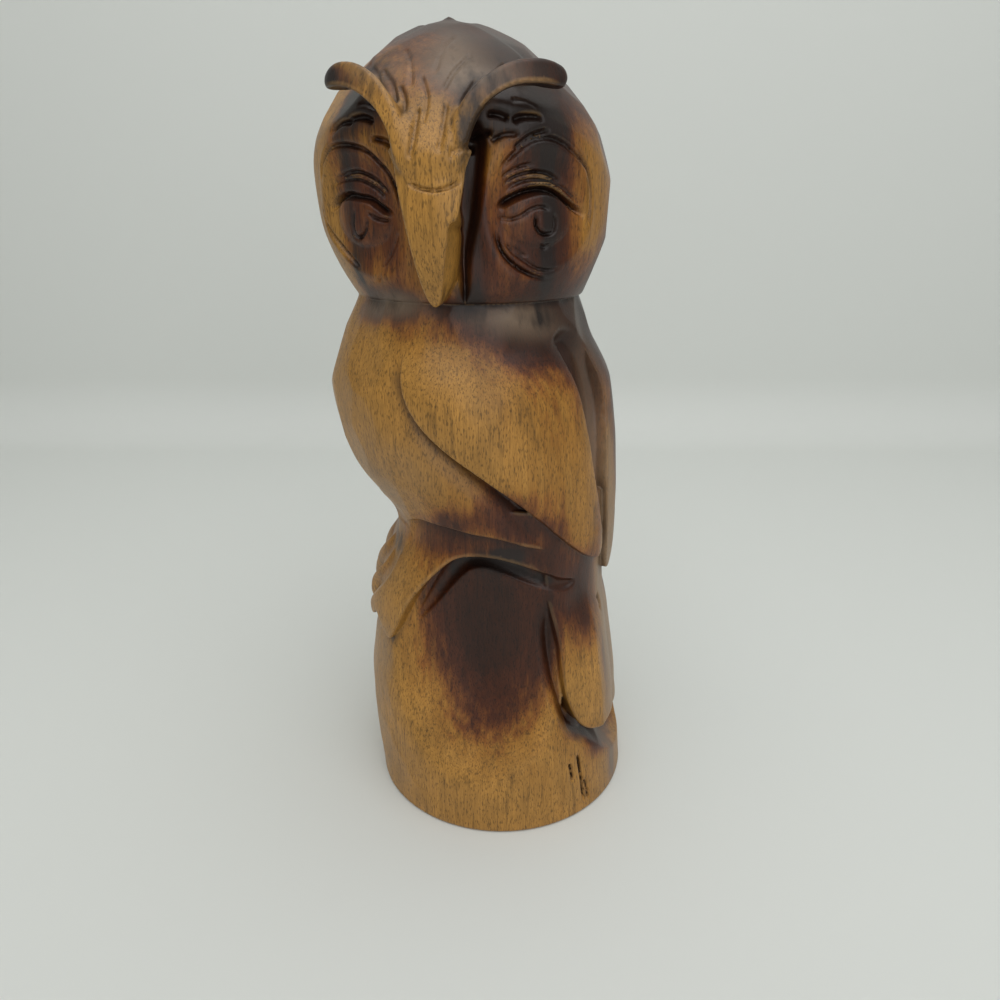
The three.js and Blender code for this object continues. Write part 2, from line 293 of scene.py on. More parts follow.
def spot(bearing, radius, z):
    """The place in space of a bearing, a distance from the log's axis and a height."""
    angle, lean_angle = math.radians(bearing), math.radians(LEAN_BEARING)
    x = LEAN * z * math.sin(lean_angle) + radius * math.sin(angle)
    y = -LEAN * z * math.cos(lean_angle) - radius * math.cos(angle)
    return x, y, z


class Wood:
    """Points of space, by place, and by bearing, turn and distance from the log's axis."""

    def __init__(self, places):
        self.places = places
        self.z = places[:, 2]
        lean_angle = math.radians(LEAN_BEARING)
        dx = places[:, 0] - LEAN * self.z * math.sin(lean_angle)
        dy = places[:, 1] + LEAN * self.z * math.cos(lean_angle)
        self.radius = np.hypot(dx, dy)
        self.bearing = np.degrees(np.arctan2(dx, -dy))
        self.turn = wrapped(BACK_BEARING - self.bearing)
        self.side = np.abs(self.turn)


def towards_breast(turn):
    return ((1 - np.cos(np.radians(turn))) / 2) ** BREAST_SHARPNESS


def log_radius(turn, z):
    share = towards_breast(turn)
    return BACK_OUTLINE(z) * (1 - share) + BREAST_OUTLINE(z) * share


def rod(places, path, thick, blend=0.8):
    """Distance to a rounded bar along (bearing, radius, height) points."""
    chain = smooth_path([spot(b, r, z) for b, z, r in path], pieces=3)
    width = thick(np.linspace(0, 1, len(chain)))
    margin = 9
    near = ((places > chain.min(0) - margin) & (places < chain.max(0) + margin)).all(1)
    close = places[near]
    best = np.full(len(close), float(margin))
    for i in range(len(chain) - 1):
        run = chain[i + 1] - chain[i]
        away = close - chain[i]
        t = np.clip(away @ run / (run @ run), 0, 1)
        away -= t[:, None] * run
        gap = np.sqrt((away**2).sum(1))
        best = join(best, gap - width[i] - t * (width[i + 1] - width[i]), blend)
    gaps = np.full(len(places), margin - 3.0)
    gaps[near] = best
    return gaps


def stroke_measure(strokes, middle, way=1):
    """V cuts that rise to nothing at their ends."""
    def measure(u, v):
        deepest = np.zeros(u.shape)
        for points, width, depth in strokes:
            path = smooth_path([(middle[0] + way * p, middle[1] + q) for p, q in points], pieces=4)
            low, high = path.min(0) - width, path.max(0) + width
            i0, i1 = np.searchsorted(u[:, 0], (low[0], high[0]))
            j0, j1 = np.searchsorted(v[0], (low[1], high[1]))
            window = np.s_[i0:i1, j0:j1]
            gap, along = beside(u[window], v[window], path)
            ends = ease(np.minimum(along, 1 - along), -0.02, 0.14)
            deep = 1.7 * depth * ends * np.clip(1 - gap / (0.5 * width + 0.2), 0, 1)
            deepest[window] = np.maximum(deepest[window], deep)
        return deepest
    return measure


# Knife facets: each flattens the surface round its middle, and the deepest one wins

def facet_chart(across, up, spacing, depth, curve_radii, seed, amount=None):
    rng = np.random.default_rng(seed)
    low, high = across[0] * BODY_ARC, across[1] * BODY_ARC
    columns = int((high - low) / spacing[0])
    rows = int((up[1] - up[0]) / spacing[1])
    middles = []
    for i in range(columns + 1):
        for j in range(rows + 1):
            shift = rng.uniform(-0.36, 0.36, 2) + (0, 0.5 * (i % 2))
            middles.append((low + (i + shift[0]) * spacing[0], up[0] + (j + shift[1]) * spacing[1]))
    deep = rng.uniform(*depth, len(middles))

    def measure(u, v):
        lowest = np.zeros(u.shape)
        for (mu, mv), most in zip(middles, deep):
            reach = 2.2 * spacing[0] + 6, 2.2 * spacing[1] + 6
            i0, i1 = np.searchsorted(u[:, 0], (mu - reach[0], mu + reach[0]))
            j0, j1 = np.searchsorted(v[0], (mv - reach[1], mv + reach[1]))
            window = np.s_[i0:i1, j0:j1]
            flat = (u[window] - mu) ** 2 / (2 * curve_radii[0])
            flat = flat + (v[window] - mv) ** 2 / (2 * curve_radii[1]) - most
            lowest[window] = np.minimum(lowest[window], flat)
        return lowest if amount is None else lowest * amount(u / BODY_ARC, v)

    return chart(measure, BODY_ARC, across, up)


def facet_amount(turn, z):
    """Facets are crisp on the breast and shoulders, faint on the wings and the stump."""
    side = np.abs(turn)
    breast = 0.25 + 0.75 * ease(side, 78, 92)
    body = np.maximum(breast, ease(z, 143, 152))
    stump_share = 0.45 * ease(side, 90, 104)
    return np.where(z > 96, body, stump_share)


BREAST_FACETS = facet_chart((-182, 182), (0, 166), (11.5, 17), (0.55, 1), (36, 60), 3, facet_amount)
TOOL_MARKS = facet_chart((-182, 182), (0, 110), (6.5, 8), (0.02, 0.12), (60, 60), 8)


def crown_planes():
    """Flats all over the crown and the sides and back of the head."""
    rng = np.random.default_rng(12)
    planes = []
    count = 84
    for i in range(count):
        z = HEIGHT - 64 * ((i + 0.2) / count) ** 0.8
        bearing = wrapped(i * 137.508 + rng.uniform(-6, 6))
        if z < 205 and abs(bearing) < 80:
            continue
        radius, slope = head_profile(z), head_profile(z + 0.5) - head_profile(z - 0.5)
        x, y, _ = spot(bearing, radius, z)
        away = np.array([math.sin(math.radians(bearing)), -math.cos(math.radians(bearing)), -slope])
        planes.append((np.array([x, y, z]), away / np.linalg.norm(away), rng.uniform(0.4, 1.3)))
    return planes


def head_profile(z):
    if z <= DOME_Z:
        return float(HEAD_OUTLINE(z))
    rise = min((z - DOME_Z) / (HEIGHT - DOME_Z), 0.999)
    return DOME_RADIUS * (1 - rise**2) ** DOME_POWER


CROWN_PLANES = crown_planes()
CROWN_TOP = np.array([0.1, 0.02, 0.9948])


# Body and stump

LEG_EDGE = outline_chart(LEGS, BODY_ARC, pieces=3)
LEFT_WING_EDGE = outline_chart(LEFT_WING, BODY_ARC)
RIGHT_WING_EDGE = outline_chart(RIGHT_WING, BODY_ARC)
BETWEEN_EDGE = outline_chart(BETWEEN_WINGS, BODY_ARC)
TAIL_EDGE = outline_chart(TAIL, BODY_ARC)


def furrow_measure(u, v):
    path = smooth_path(scaled(FURROW, BODY_ARC))
    gap, along = beside(u, v, path)
    return FURROW_DEPTH(along) * np.clip(1 - gap / FURROW_WIDTH(along), 0, 1) ** 1.6


def toe_measure(u, v):
    deepest = np.zeros(u.shape)
    for path in TOE_CUTS:
        gap, along = beside(u, v, smooth_path(scaled(path, BODY_ARC)))
        width = 3 + 2.4 * along
        depth = 3.4 + 1.2 * ease(along, 0, 0.3)
        deepest = np.maximum(deepest, depth * np.clip(1 - gap / width, 0, 1) ** 1.5)
    return deepest


def groove_measure(path, width, depth, fade_in=0.25):
    def measure(u, v):
        gap, along = beside(u, v, smooth_path(scaled(path, BODY_ARC)))
        return depth * ease(along, 0, fade_in) * np.clip(1 - gap / width, 0, 1) ** 1.3
    return measure


CRACKS = [
    ([(24.2, 20.6), (23.6, 17), (23.2, 13.6)], 0.9, 0.9),
    ([(19.6, 22.8), (18.8, 17), (18, 11), (17.4, 4)], 0.9, 1.1),
    ([(16.4, 12), (15.4, 8), (14.4, 3.4)], 0.8, 0.8),
    ([(-6, 71), (-7.4, 68), (-5.4, 66)], 2.2, 1.2),
]


def notch_measure(u, v):
    path = smooth_path(scaled(NOTCH_FOOT, BODY_ARC))
    gap, _ = beside(u, v, path)
    ring = np.vstack([path, [(-46 * BODY_ARC, 60), (22 * BODY_ARC, 60)]])
    return np.where(outside(u, v, ring) < 0, np.minimum(gap * 0.95, 6.5), 0)


FURROW_CHART = chart(furrow_measure, BODY_ARC, (-10, 100), (84, 160))
TOE_CHART = chart(toe_measure, BODY_ARC, (96, 178), (54, 102))
TAIL_GROOVE_CHART = chart(groove_measure(TAIL_GROOVE, 4.6, 3.8, 0.35), BODY_ARC, (-4, 40), (16, 92))
NOTCH_CHART = chart(notch_measure, BODY_ARC, (-60, 34), (6, 62))
CRACK_CHART = chart(
    stroke_measure([(scaled(p, BODY_ARC), width, depth) for p, width, depth in CRACKS], (0, 0)),
    BODY_ARC, (-20, 30), (-2, 76), 0.2,
)


def stump(w):
    across = (w.side - SCOOP_TURN) / SCOOP_HALF_TURN
    along = (w.z - SCOOP_Z) / np.where(w.z > SCOOP_Z, SCOOP_UP, SCOOP_DOWN)
    hollow = 1 - across**2 - along**2
    soft = 0.5 * (hollow + np.sqrt(hollow**2 + 0.012))
    radius = log_radius(w.turn, w.z) - SCOOP_DEPTH * soft * (hollow > -0.8)
    radius = radius - NOTCH_CHART(w.turn, w.z) - TAIL_GROOVE_CHART(w.turn, w.z)
    radius = radius - np.maximum(-TOOL_MARKS(w.turn, w.z), 0) * ease(hollow, 0, 0.3)
    radius = radius + BREAST_FACETS(w.turn, w.z) * (1 - ease(hollow, -0.1, 0.1))
    radius = radius - CRACK_CHART(w.turn, w.z)
    wood = (w.radius - radius) * 0.92
    slot = rod(w.places, UNDERCUT[0], UNDERCUT_THICK)
    wood = cut(wood, slot, 0.6)
    slot = rod(w.places, UNDERCUT[1], UNDERCUT_THICK)
    wood = cut(wood, slot, 0.6)
    return keep_both(wood, w.z - 106, 1)


def scoop_radius(side, z):
    across = (side - SCOOP_TURN) / SCOOP_HALF_TURN
    along = (z - SCOOP_Z) / SCOOP_UP
    return float(log_radius(side, z)) - max(0.6, SCOOP_DEPTH * (1 - across**2 - along**2))


UNDERCUT_LINE = [
    (15, 80.6), (20, 80.8), (26, 81.8), (35, 84), (46, 86.4), (57, 87.8), (67, 87), (76, 84), (85, 78.6),
    (93, 72), (99, 66.6),
]
UNDERCUT_THICK = curve([(0, 0.9), (0.15, 2), (0.3, 3), (0.6, 3.3), (0.85, 2.2), (1, 1)])
UNDERCUT = [
    [(BACK_BEARING - way * turn, z, scoop_radius(turn, z) + 0.6) for turn, z in UNDERCUT_LINE]
    for way in (1, -1)
]


def legs(w):
    share = towards_breast(w.turn)
    radius = LEG_OUTLINE(w.z) * (1 - share) + FOOT_OUTLINE(w.z) * share
    radius = radius - TOE_CHART(w.side, w.z)
    radius = np.minimum(radius, BACK_OUTLINE(w.z) - 2.2 + 40 * ease(w.side, 16, 70))
    edge = LEG_EDGE(w.side, w.z)
    return keep_both((w.radius - radius) * 0.9, edge + 0.25 * (radius - w.radius), 0.9)


def body(w):
    radius = log_radius(w.turn, w.z) + BREAST_FACETS(w.turn, w.z)
    radius = radius - FURROW_CHART(w.side, w.z)
    radius = radius - 3.6 * (1 - ease(BETWEEN_EDGE(w.turn, w.z), -4.5, 0.8))
    edge = (BODY_BOTTOM(w.side) - w.z) * 0.97
    wood = keep_both((w.radius - radius) * 0.88, edge + 0.2 * (radius - w.radius), 0.8)
    return keep_both(wood, w.z - 168, 1)


def wing(w, edge):
    radius = log_radius(w.turn, w.z) - 0.8 + (WING_THICK + 0.8) * ease(156 - w.z, 0, 20)
    radius = radius - 0.8 * np.clip(1 + edge / 7, 0, 1) ** 2 + 0.6 * BREAST_FACETS(w.turn, w.z)
    return keep_both((w.radius - radius) * 0.9, edge + 0.05 * (radius - w.radius), 0.4)


def tail(w):
    aside = np.abs(w.turn - 5) / 19
    grown = ease(86 - w.z, 0, 26)
    radius = BACK_OUTLINE(w.z) - 2.6 + 3.2 * grown + (0.8 + 1.6 * grown) * np.clip(1 - aside, 0, 1)
    radius = radius - 0.5 * ease(40 - w.z, 0, 10) - CRACK_CHART(w.turn, w.z)
    edge = TAIL_EDGE(w.turn, w.z)
    return keep_both((w.radius - radius) * 0.9, edge + 0.15 * (radius - w.radius), 1.2)


def lower_part(w):
    wood = join(stump(w), legs(w), 0.4)
    wood = join(wood, body(w), 0.4)
    wood = join(wood, wing(w, LEFT_WING_EDGE(w.turn, w.z)), 0.5)
    wood = join(wood, wing(w, RIGHT_WING_EDGE(w.turn, w.z)), 0.5)
    wood = join(wood, tail(w), 0.6)
    return keep_both(wood, -w.z, 1.2)


# Head and face

# Chisel strokes round the eyes: (points, width, depth), points in millimetres from the pupil's
# middle along the bearing and up
RIGHT_EYE = [
    ([(-11.2, 1), (-8.5, 2.5), (-5.2, 3.9), (-1.7, 4.9), (2, 5.3), (5.6, 4.5), (9, 2.6), (12.6, 0), (13.7, -1.5)],
     2.2, 1.7),
    ([(-11.1, -0.9), (-7.5, -1.4), (-4.6, -0.5), (-2.1, 0.9), (0.6, 1.4), (3.3, 0.5)], 1.1, 0.6),
    ([(-0.8, 0), (-1.2, -2.5), (-0.1, -4.3), (1.6, -4.9), (3.6, -4.4), (4.2, -2.6), (4.1, 0)], 1.1, 0.9),
    ([(0.2, -7), (1.6, -8), (3, -7)], 0.9, 0.5),
    ([(-9.5, 5.9), (-6.7, 7.7), (-3.3, 8.8), (0.3, 9.2), (4.2, 8.4), (7.3, 6.2)], 1.2, 0.8),
    ([(-9.2, 4.5), (-6.7, 6.1), (-3.4, 7.2), (0.2, 7.4), (3.6, 7.2), (7.3, 5.8), (11, 3.3), (13.8, 0.7)], 1.2, 0.7),
    ([(-9.8, 7.6), (-6.6, 9.4), (-3.2, 10.6), (-0.6, 10.7)], 1.1, 0.6),
    ([(-10.9, 8.3), (-8.4, 11), (-5, 13.8), (-1.6, 15.9), (2.1, 16.5), (6.1, 15.6), (10.1, 13.3), (14.2, 10.3),
      (15.7, 6), (15.5, 0.4), (13.7, -4.6)], 1.6, 0.9),
    ([(-11.6, -3.2), (-11, -6.8), (-9.2, -10.1), (-6, -12.7), (-1.7, -14.7), (2.7, -15.7), (7.2, -14.7),
      (11.1, -12.6), (13.4, -10.4)], 1.5, 1),
    ([(-9.8, -6), (-7.5, -8.6), (-4.2, -10.9), (-0.7, -12.9), (2.8, -13.4), (6.6, -12.8)], 1.1, 0.6),
    ([(-7.5, -7.5), (-3.3, -10.2)], 1, 0.5),
    ([(-21.4, 12.2), (-18.5, 13.5), (-15.2, 14)], 1.8, 1.2),
    ([(-16.8, 16.2), (-13.8, 17.2), (-11.2, 17)], 1.8, 1.2),
    ([(-12.4, 21.1), (-9.8, 21.1), (-7.2, 20.2)], 1.8, 1.1),
    ([(-6.4, 19.5), (-4.4, 20.6), (-1, 20.9), (1.3, 20.7)], 1.8, 1.2),
    ([(-6.4, 13.8), (-2.1, 16.6), (2.6, 18.1)], 1.8, 1.2),
    ([(-6.6, 24.2), (-2.6, 24.1), (0.9, 22.7)], 1.6, 0.9),
    ([(1, 26), (4.2, 23.3), (9.7, 22.7)], 1, 0.4),
    ([(-12, 15.4), (-8.5, 16.8), (-5, 17)], 1.4, 0.8),
]
LEFT_EYE = [
    ([(-12.5, 0.5), (-8.1, 3.4), (-4.6, 4), (-1.6, 3.8), (3.3, 3.1), (6.3, 1.4), (9, -0.4), (9.9, -0.9)], 2, 1.5),
    ([(2.1, 0), (5.8, -1.5), (8.8, -1.8)], 1.1, 0.7),
    ([(-1.6, 1.1), (-2.8, -2.6), (-2.7, -5.3), (-0.9, -5.6), (1.4, -3.7), (2.3, -0.7)], 1.2, 0.9),
    ([(-9, 7.6), (-5, 8.8), (-0.4, 9.4), (3.1, 8.6), (6.1, 7.1), (8.8, 4.6), (9.5, 3.2)], 1.2, 0.8),
    ([(-10, 6), (-7.3, 7.4), (-1.4, 7.8), (3.3, 6.6), (6.8, 4.6), (9, 2.8)], 1.1, 0.7),
    ([(-14, 7), (-12, 11.5), (-7.8, 14.7), (-3.4, 15.4), (0.8, 15), (4.6, 13.8), (7.8, 11.2), (9.9, 9.1),
      (11.3, 6.3), (12.1, 3.2), (12.2, -0.7)], 1.5, 0.9),
    ([(-16.4, 3), (-16.4, -0.5), (-13.5, -4.7), (-10, -8), (-6.9, -10.6), (-2.6, -13.8)], 1.5, 0.8),
    ([(-8.3, -14.5), (-4, -15.8), (0.2, -16.7), (3.5, -15.8), (4.3, -14.2)], 1.4, 0.9),
    ([(5, -13), (8.5, -9), (11, -4.5)], 1.1, 0.4),
    ([(6.6, 16.4), (10.4, 15.6), (14, 13)], 1.7, 1),
    ([(0.4, 20.6), (4.6, 21), (8, 19.8)], 1.7, 1.1),
    ([(-6, 18), (-2, 20), (2, 20)], 1.7, 1.1),
    ([(3, 24), (6.4, 23.8), (9.4, 22.6)], 1.6, 0.9),
    ([(-8, 22.6), (-4, 24), (0, 23.8)], 1.4, 0.8),
]
EYE_BEARING, EYE_Z = 38, 182
CROWN_CUTS = [
    ([(2, 194), (3.5, 199), (4.5, 205)], 1.1, 0.5),
    ([(-6, 192.5), (-5, 198), (-4.6, 204)], 1.4, 0.6),
    ([(5.4, 192.6), (6.4, 196.6), (6, 201.5)], 1.3, 0.6),
    ([(-2.6, 200), (-2, 206), (-5, 211)], 1, 0.45),
    ([(-9, 199), (-9.6, 205), (-13, 209)], 1.2, 0.5),
    ([(7, 199), (10, 205), (16, 210)], 1.2, 0.5),
    ([(-12, 204), (-16, 209), (-24, 213)], 1.2, 0.5),
    ([(3, 207), (8, 212), (16, 216)], 1.1, 0.45),
    ([(-8, 208), (-11, 214), (-18, 218)], 1.1, 0.45),
    ([(16, 206), (22, 210.5), (32, 214.5)], 1.2, 0.5),
    ([(-20, 207), (-26, 212), (-38, 215.6)], 1.2, 0.5),
    ([(0, 211), (3, 217), (10, 221)], 1, 0.4),
    ([(-7.6, 188.3), (-3, 187), (1, 186.7), (5, 187.6), (8, 189)], 1, 0.55),
]


def face_strokes():
    right = stroke_measure(RIGHT_EYE, (EYE_BEARING * FACE_ARC, EYE_Z))
    left = stroke_measure(LEFT_EYE, (-EYE_BEARING * FACE_ARC, EYE_Z))
    crown = stroke_measure([(scaled(p, FACE_ARC), w, d) for p, w, d in CROWN_CUTS], (0, 0))
    measure = lambda u, v: np.maximum(np.maximum(right(u, v), left(u, v)), crown(u, v))
    return chart(measure, FACE_ARC, (-76, 76), (162, 224), 0.2)


STROKES = face_strokes()
CHEEK_EDGE = outline_chart(CHEEK, FACE_ARC)
HOLLOW_EDGE = outline_chart(HOLLOW, FACE_ARC)
BEAK_EDGE = outline_chart(BEAK, FACE_ARC, pieces=3)
FOREHEAD_EDGE = outline_chart(FOREHEAD, FACE_ARC)


def skull(w):
    side = (w.radius - HEAD_OUTLINE(w.z)) * 0.93
    rise = np.maximum(w.z - DOME_Z, 0) / (HEIGHT - DOME_Z)
    dome = (np.sqrt(rise**2 + (w.radius / DOME_RADIUS) ** (1 / DOME_POWER) + 1e-6) - 1) * 36
    wood = np.where(w.z > DOME_Z, dome, side)
    for point, away, depth in CROWN_PLANES:
        wood = keep_both(wood, (w.places @ away) + (depth - point @ away), 0.12)
    return keep_both(wood, w.places @ CROWN_TOP - 225, 0.6)


def cheek_radius(w):
    side = np.abs(w.bearing)
    radius = CHEEK_OUTLINE(w.z) + 0.105 * np.maximum(0, side - 14)
    radius = radius - 3.4 * (1 - ease(HOLLOW_EDGE(side, w.z), -2.4, 0.3))
    u, v = (side - EYE_BEARING) * FACE_ARC, w.z - EYE_Z
    ring = np.sqrt((u / 13.5) ** 2 + (v / 16) ** 2)
    radius = radius - 0.9 * (1 - ease(ring, 0.55, 1.05)) + 0.7 * np.exp(-((ring - 1.1) / 0.16) ** 2)
    ball = np.clip(1 - (u / 9.5) ** 2 - ((v + 1.5) / 6.4) ** 2, 0, 1)
    return radius + 1.3 * np.sqrt(ball + 1e-4) - STROKES(w.bearing, w.z)


def face(w, wood):
    side = np.abs(w.bearing)
    cheek = cheek_radius(w)
    wood = cut(wood, np.maximum(CHEEK_EDGE(side, w.z), (cheek - w.radius) * 0.9), 0.5)
    forehead = FOREHEAD_OUTLINE(w.z) - 0.03 * side - STROKES(w.bearing, w.z)
    slope = 0.62 + 0.3 * ease(205 - w.z, 0, 12)
    brow = keep_both((w.radius - forehead) * slope, FOREHEAD_EDGE(w.bearing, w.z) * 0.9, 1.6)
    under = (UNDER_BROW(np.where(w.bearing > 0, side, side - 1.6)) - w.z) * 0.8
    for path in (RIGHT_BROW, LEFT_BROW):
        ridge = keep_both(rod(w.places, path, BROW_THICK), w.radius - BROW_FACE(w.z), 0.8)
        brow = join(brow, keep_both(ridge, under, 0.5), 3)
    beak = BEAK_OUTLINE(w.z) - 0.05 * side**1.3 - STROKES(w.bearing, w.z) * (side < 12)
    flare = 0.24 * (w.bearing > -4) * ease(184 - w.z, 0, 8) * ease(w.z, 160, 168) - 0.05
    edge = BEAK_EDGE(w.bearing, w.z) - flare * np.clip(beak - w.radius, 0, 12)
    beak = keep_both((w.radius - beak) * 0.95, edge, 0.5)
    beak = keep_both(beak, 29 - w.radius, 1)
    wood = join(wood, brow, 0.5 + 1.5 * ease(w.z, 211, 215))
    return join(wood, beak, 0.7)


def head(w):
    wood = keep_both(skull(w), 160.6 - w.z, 0.5)
    return face(w, wood)


def only(part, places, wanted):
    gaps = np.full(len(places), 50.0)
    if wanted.any():
        gaps[wanted] = part(Wood(places[wanted]))
    return gaps


def owl(places):
    lower = only(lower_part, places, places[:, 2] < 172)
    upper = only(head, places, places[:, 2] > 148)
    return join(lower, upper, 0.4)


# Reading the surface off as a mesh

def in_parts(distance, places, most=400000):
    return np.concatenate([distance(places[i:i + most]) for i in range(0, len(places), most)])


def sample(distance, low, high):
    """Distances on a fine grid, worked out only close to the surface."""
    coarse = STEP * BLOCK
    cells = np.ceil((high - low) / coarse).astype(int)
    middles = np.stack(np.meshgrid(*[np.arange(n) + 0.5 for n in cells], indexing="ij"), -1)
    rough = in_parts(distance, low + coarse * middles.reshape(-1, 3)).reshape(cells)
    near = np.abs(rough) < coarse * 1.7
    fine = np.ones(cells * BLOCK + 1, dtype=np.float32)
    wanted = np.zeros(cells * BLOCK + 1, dtype=bool)
    filled = np.sign(rough)
    for axis in range(3):
        near = np.repeat(near, BLOCK, axis)
        filled = np.repeat(filled, BLOCK, axis)
    fine[:-1, :-1, :-1] = filled
    wanted[:-1, :-1, :-1] = near
    wanted[1:] |= wanted[:-1]
    wanted[:, 1:] |= wanted[:, :-1]
    wanted[:, :, 1:] |= wanted[:, :, :-1]
    at = np.argwhere(wanted)
    fine[wanted] = in_parts(distance, low + STEP * at)
    return fine


def skin(fine, low):
    """One corner in each cell that the surface passes through, and a face across each crossed edge."""
    inside = fine < 0
    count = np.zeros(np.array(fine.shape) - 1, dtype=np.uint8)
    offsets = [(i, j, k) for i in (0, 1) for j in (0, 1) for k in (0, 1)]
    nx, ny, nz = count.shape
    for i, j, k in offsets:
        count += inside[i:i + nx, j:j + ny, k:k + nz]
    cells = np.argwhere((count > 0) & (count < 8))
    number = np.full(count.shape, -1, dtype=np.int32)
    number[tuple(cells.T)] = np.arange(len(cells))
    total = np.zeros((len(cells), 3))
    crossings = np.zeros(len(cells))
    for a in offsets:
        for axis in range(3):
            if a[axis]:
                continue
            b = list(a)
            b[axis] = 1
            start = fine[tuple((cells + a).T)]
            end = fine[tuple((cells + b).T)]
            crossed = (start < 0) != (end < 0)
            t = np.where(crossed, start / np.where(crossed, start - end, 1), 0)
            place = np.array(a, dtype=float) + np.outer(t, np.eye(3)[axis])
            total += place * crossed[:, None]
            crossings += crossed
    corners = low + STEP * (cells + total / crossings[:, None])
    faces = []
    for axis in range(3):
        one, two = [n for n in range(3) if n != axis]
        here = np.take(inside, np.arange(fine.shape[axis] - 1), axis)
        there = np.take(inside, np.arange(1, fine.shape[axis]), axis)
        edges = np.argwhere(here != there)
        last = np.array(fine.shape) - 1
        edges = edges[(edges[:, one] > 0) & (edges[:, two] > 0)
                      & (edges[:, one] < last[one]) & (edges[:, two] < last[two])]
        ring = []
        for back_one, back_two in ((1, 1), (0, 1), (0, 0), (1, 0)):
            cell = edges.copy()
            cell[:, one] -= back_one
            cell[:, two] -= back_two
            ring.append(number[tuple(cell.T)])
        quads = np.stack(ring, 1)
        flip = here[tuple(edges.T)] == (axis == 1)
        quads[flip] = quads[flip][:, ::-1]
        faces.append(quads)
    return corners, np.concatenate(faces)


def settle(corners, distance, rounds=2):
    """Slides each corner straight onto the surface."""
    reach = 0.04
    for _ in range(rounds):
        ways = np.array([(1, 1, 1), (1, -1, -1), (-1, 1, -1), (-1, -1, 1)])
        gaps = np.stack([in_parts(distance, corners + reach * way) for way in ways], 1)
        slope = gaps @ ways / (4 * reach)
        steepness = np.maximum((slope**2).sum(1), 0.2)
        move = slope * (gaps.mean(1) / steepness)[:, None]
        far = np.maximum(np.linalg.norm(move, axis=1) / (0.5 * STEP), 1)
        corners = corners - move / far[:, None]
    return corners


def carve():
    low, high = np.array([-56.0, -52.0, -1.3]), np.array([48.0, 50.0, 232.0])
    corners, faces = skin(sample(owl, low, high), low)
    corners = settle(corners, owl)
    mesh = bpy.data.meshes.new("carved_owl_in_the_round")
    mesh.vertices.add(len(corners))
    mesh.vertices.foreach_set("co", (corners * MM).ravel())
    mesh.loops.add(len(faces) * 4)
    mesh.loops.foreach_set("vertex_index", faces.ravel())
    mesh.polygons.add(len(faces))
    mesh.polygons.foreach_set("loop_start", np.arange(len(faces)) * 4)
    mesh.update(calc_edges=True)
    mesh.validate()
    piece = bpy.data.objects.new("owl_carving", mesh)
    bpy.context.scene.collection.objects.link(piece)
    group = piece.vertex_groups.new(name="plain")
    w = Wood(corners)
    plain = ~((w.z > 160) & (w.z < 216) & (np.abs(w.bearing) < 74))
    group.add(np.flatnonzero(plain).tolist(), 1.0, "REPLACE")
    group.add(np.flatnonzero(~plain).tolist(), 0.35, "REPLACE")
    thin = piece.modifiers.new("thin", "DECIMATE")
    thin.vertex_group = "plain"
    thin.vertex_group_factor = 1.0
    thin.ratio = min(1.0, MOST_TRIANGLES / (2 * len(faces)))
    held = bpy.context.evaluated_depsgraph_get()
    slim = bpy.data.meshes.new_from_object(piece.evaluated_get(held))
    piece.modifiers.clear()
    piece.vertex_groups.clear()
    piece.data = slim
    slim.shade_smooth()
    print("kept", len(slim.polygons), "faces")
    return piece


owl_carving = carve()
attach(owl_carving, "root")
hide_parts("carved_owl")


# Where the wood is dark. The heartwood lies round the pith, and the deeper a cut the darker.
# Depth into the heartwood, in millimetres, is stored on every corner, with soft patches on top; a few of those
# patches also paint shade, and the grey ones paint a sheen.

PITH = (2.0, 2.0)
HEART_RADIUS = 35.0
# The grey patches paint a sheen: a painted reflection on flats that face the light.
HEART_AND_SHADE, BLACK_AND_SHADE, PAINTED_SHEEN = "heart_depth_and_shade", "black_streak_and_shade", "painted_grey_sheen"

